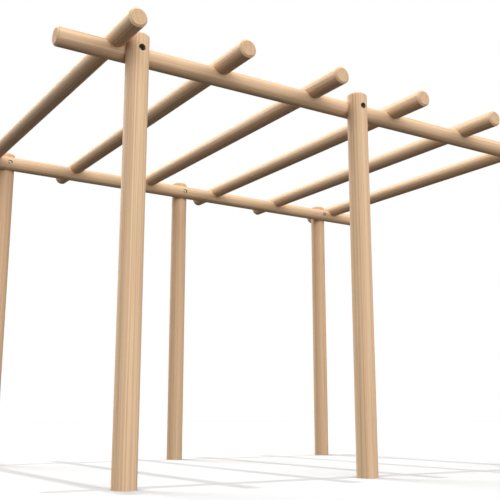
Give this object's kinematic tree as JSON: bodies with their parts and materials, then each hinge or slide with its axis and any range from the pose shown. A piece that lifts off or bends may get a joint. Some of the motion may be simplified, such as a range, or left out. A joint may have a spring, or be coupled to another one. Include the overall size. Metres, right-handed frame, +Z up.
{
  "type": "round timber pergola",
  "caption": "Open rectangular pergola of turned logs: two rows of posts, a purlin along each row and rafters across both.",
  "frame": {"origin": "on the ground, under the middle of the frame", "axes": "+X along the purlins to the right, +Y across from the front row to the back row, +Z up; the planes X = 0 and Y = 0 are planes of symmetry"},
  "size_m": [3.73, 2.794, 2.25],
  "materials": {
    "post_wood": "turned and sanded, fine upright grain",
    "purlin_wood": "turned and sanded, fine grain along the log",
    "rafter_wood": "turned and sanded, fine grain along the log",
    "zinc_steel": "zinc plated, dull",
    "screw_steel": "zinc plated, satin"
  },
  "bodies": {
    "root": {"purlin_front": "purlin_wood", "post_front_left": "post_wood", "bolt_front_left": "zinc_steel", "washers_front_left": "zinc_steel", "nut_front_left": "zinc_steel", "post_front_middle": "post_wood", "bolt_front_middle": "zinc_steel", "washers_front_middle": "zinc_steel", "nut_front_middle": "zinc_steel", "post_front_right": "post_wood", "bolt_front_right": "zinc_steel", "washers_front_right": "zinc_steel", "nut_front_right": "zinc_steel", "purlin_back": "purlin_wood", "post_back_left": "post_wood", "bolt_back_left": "zinc_steel", "washers_back_left": "zinc_steel", "nut_back_left": "zinc_steel", "post_back_middle": "post_wood", "bolt_back_middle": "zinc_steel", "washers_back_middle": "zinc_steel", "nut_back_middle": "zinc_steel", "post_back_right": "post_wood", "bolt_back_right": "zinc_steel", "washers_back_right": "zinc_steel", "nut_back_right": "zinc_steel", "rafter_1": "rafter_wood", "rafter_screws_1": "screw_steel", "rafter_2": "rafter_wood", "rafter_screws_2": "screw_steel", "rafter_3": "rafter_wood", "rafter_screws_3": "screw_steel", "rafter_4": "rafter_wood", "rafter_screws_4": "screw_steel", "rafter_5": "rafter_wood", "rafter_screws_5": "screw_steel", "rafter_6": "rafter_wood", "rafter_screws_6": "screw_steel"}
  },
  "joints": []
}
